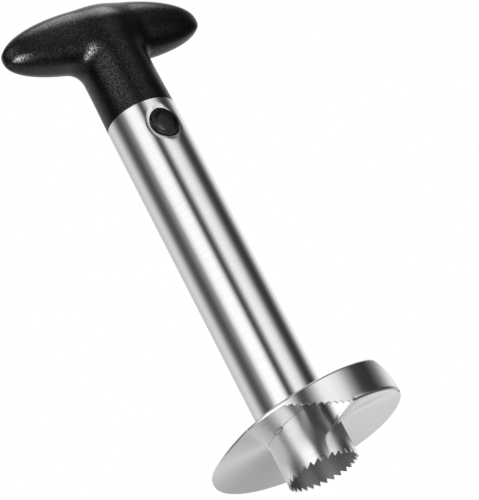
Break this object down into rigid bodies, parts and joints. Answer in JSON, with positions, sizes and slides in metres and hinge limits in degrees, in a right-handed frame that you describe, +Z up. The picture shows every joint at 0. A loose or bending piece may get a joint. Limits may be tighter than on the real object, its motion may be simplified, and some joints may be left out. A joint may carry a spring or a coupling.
{
  "type": "pineapple slicer",
  "caption": "Hand pineapple slicer: T-handle with release buttons on a toothed steel core tube that carries a one-turn spiral disc blade.",
  "frame": {"origin": "on the tube's axis, at the level of the tooth tips that the tool stands on", "axes": "+Z up the tube towards the handle, X along the T-bar, the front button faces -Y and the rear button +Y"},
  "size_m": [0.0996, 0.0871, 0.2399],
  "materials": {
    "tube_steel": "brushed round the tube, satin",
    "blade_steel": "fine satin with bright cut edges",
    "weld_steel": "rough weld bead, slightly darkened",
    "black_grip": "black, finely spark-textured",
    "plug_plastic": "black moulded plastic",
    "button_plastic": "black, semi-gloss",
    "spring_steel": "bright drawn wire",
    "screw_steel": "plain zinc-plated"
  },
  "bodies": {
    "cutter": {"core_tube": "tube_steel", "spiral_blade": "blade_steel", "weld_rear_right": "weld_steel", "weld_rear": "weld_steel", "weld_left": "weld_steel", "weld_upper_lip": "weld_steel", "weld_lower_lip": "weld_steel"},
    "handle": {"handle_grip": "black_grip", "plug_left": "plug_plastic", "plug_right": "plug_plastic", "handle_screw": "screw_steel", "plug_screw_front": "screw_steel", "plug_screw_rear": "screw_steel", "front_button_spring": "spring_steel", "rear_button_spring": "spring_steel"},
    "front_button": {"front_button": "button_plastic"},
    "rear_button": {"rear_button": "button_plastic"}
  },
  "joints": [
    {"name": "handle_pull", "type": "slide", "parent": "cutter", "child": "handle", "axis": [0, 0, 1], "range_m": [0, 0.15]},
    {"name": "front_button_press", "type": "slide", "parent": "handle", "child": "front_button", "axis": [0, 1, 0], "range_m": [0, 0.0036], "stiffness_N_per_m": 350, "springref_m": -0.006, "deforming": ["front_button_spring"]},
    {"name": "rear_button_press", "type": "slide", "parent": "handle", "child": "rear_button", "axis": [0, -1, 0], "range_m": [0, 0.0036], "stiffness_N_per_m": 350, "springref_m": -0.006, "deforming": ["rear_button_spring"]}
  ]
}
